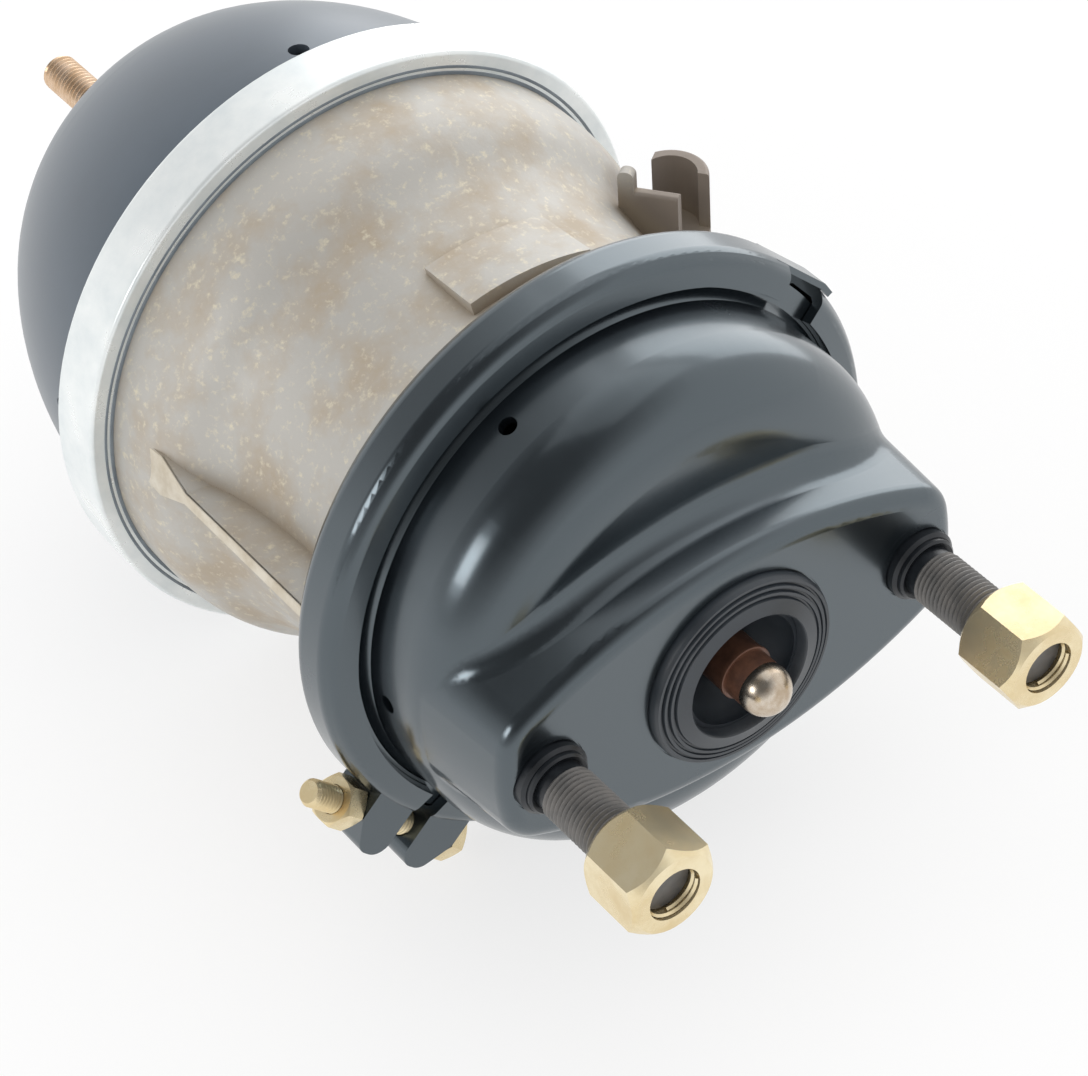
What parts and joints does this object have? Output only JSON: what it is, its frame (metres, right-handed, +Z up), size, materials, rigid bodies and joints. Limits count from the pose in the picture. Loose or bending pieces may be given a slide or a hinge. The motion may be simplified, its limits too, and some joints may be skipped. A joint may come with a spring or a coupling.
{
  "type": "air brake chamber",
  "caption": "Combination spring brake chamber for a disc brake: service chamber with a push rod and two mounting studs, and a parking chamber with a caged power spring.",
  "frame": {"origin": "centre of the mounting face, midway between the two studs, on the chamber's axis", "axes": "+X along the line of the studs, +Y along the chamber's axis towards its rear dome and release bolt, +Z up"},
  "size_m": [0.1898, 0.391, 0.1846],
  "materials": {
    "black_enamel": "semi-gloss",
    "black_satin": "satin",
    "cast_aluminium": "as cast",
    "white_zinc": "zinc plated",
    "yellow_zinc": "yellow zinc plated steel",
    "copper_zinc": "zinc plated steel",
    "phosphate": "phosphated steel",
    "bright_steel": "ground",
    "rubber": "moulded",
    "spring_steel": "oiled",
    "plain_steel": "pressed",
    "bush": "sintered"
  },
  "bodies": {
    "root": {"service_housing": "black_enamel", "mounting_studs": "phosphate", "stud_nuts": "yellow_zinc", "face_seal": "rubber", "dust_boot": "rubber", "service_return_spring": "spring_steel", "service_diaphragm": "rubber", "clamp_half_upper": "black_enamel", "clamp_half_lower": "black_enamel", "clamp_bolts": "yellow_zinc", "clamp_nuts": "yellow_zinc", "flange_case": "cast_aluminium", "rod_bush": "bush", "rod_seals": "rubber", "parking_return_spring": "spring_steel", "parking_diaphragm": "rubber", "power_spring": "spring_steel", "crimp_ring": "white_zinc", "spring_housing": "black_satin", "release_washer": "white_zinc"},
    "parking_piston_body": {"parking_piston": "cast_aluminium", "spring_guide": "plain_steel", "parking_rod": "bright_steel", "rod_foot": "plain_steel", "release_bolt": "copper_zinc"},
    "service_pushrod_body": {"push_plate": "plain_steel", "pushrod": "bright_steel"},
    "release_nut_body": {"release_nut": "yellow_zinc"}
  },
  "joints": [
    {"name": "parking_stroke", "type": "slide", "parent": "root", "child": "parking_piston_body", "axis": [0, -1, 0], "range_m": [0, 0.024], "deforming": ["power_spring", "parking_return_spring", "parking_diaphragm", "service_diaphragm", "service_return_spring"]},
    {"name": "service_stroke", "type": "slide", "parent": "parking_piston_body", "child": "service_pushrod_body", "axis": [0, -1, 0], "range_m": [0, 0.04], "stiffness_N_per_m": 2500, "springref_m": -0.03, "deforming": ["service_diaphragm", "service_return_spring"]},
    {"name": "release_nut_turn", "type": "hinge", "parent": "root", "child": "release_nut_body", "pos_m": [0, 0.29, 0], "axis": [0, 1, 0], "range_deg": [0, 4937.6]}
  ],
  "couplings": [
    {"joint": "release_nut_turn", "follows": "parking_stroke", "rad_per_m": 3590.4}
  ]
}
